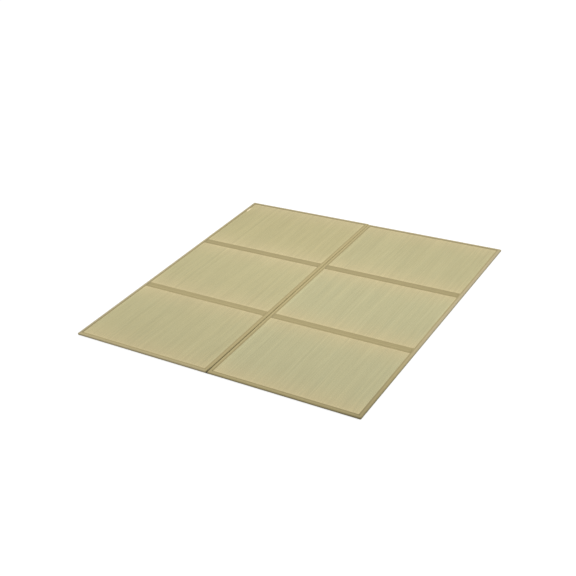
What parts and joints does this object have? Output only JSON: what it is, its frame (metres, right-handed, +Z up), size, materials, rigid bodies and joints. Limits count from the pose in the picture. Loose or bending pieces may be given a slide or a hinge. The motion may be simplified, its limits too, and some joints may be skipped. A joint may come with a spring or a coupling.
{
  "type": "folding tatami mat",
  "caption": "Square folding rush mat that lies flat on a floor: rectangular rush panels in two columns, edged in khaki cloth binding, with cloth tape over the folds.",
  "frame": {"origin": "on the floor, in the middle of the mat's outline", "axes": "+X along the front edge, across the two columns; +Y from the front edge to the back edge, the way the rush lies; +Z up"},
  "size_m": [1.79, 1.806, 0.0116],
  "materials": {
    "rush": "woven rush, matte, greenish straw",
    "binding_cloth": "plain woven khaki cloth, matte",
    "label_cloth": "plain cream tape, blank"
  },
  "bodies": {
    "root": {"panel_left_front": "rush", "panel_left_middle": "rush", "panel_left_back": "rush", "tape_left_front": "binding_cloth", "tape_left_middle": "binding_cloth", "binding_left_front": "binding_cloth", "binding_left_inner": "binding_cloth", "binding_left_back": "binding_cloth", "binding_left_outer": "binding_cloth", "panel_right_front": "rush", "panel_right_middle": "rush", "panel_right_back": "rush", "tape_right_front": "binding_cloth", "tape_right_middle": "binding_cloth", "binding_right_front": "binding_cloth", "binding_right_inner": "binding_cloth", "binding_right_back": "binding_cloth", "binding_right_outer": "binding_cloth", "label": "label_cloth"}
  },
  "joints": []
}
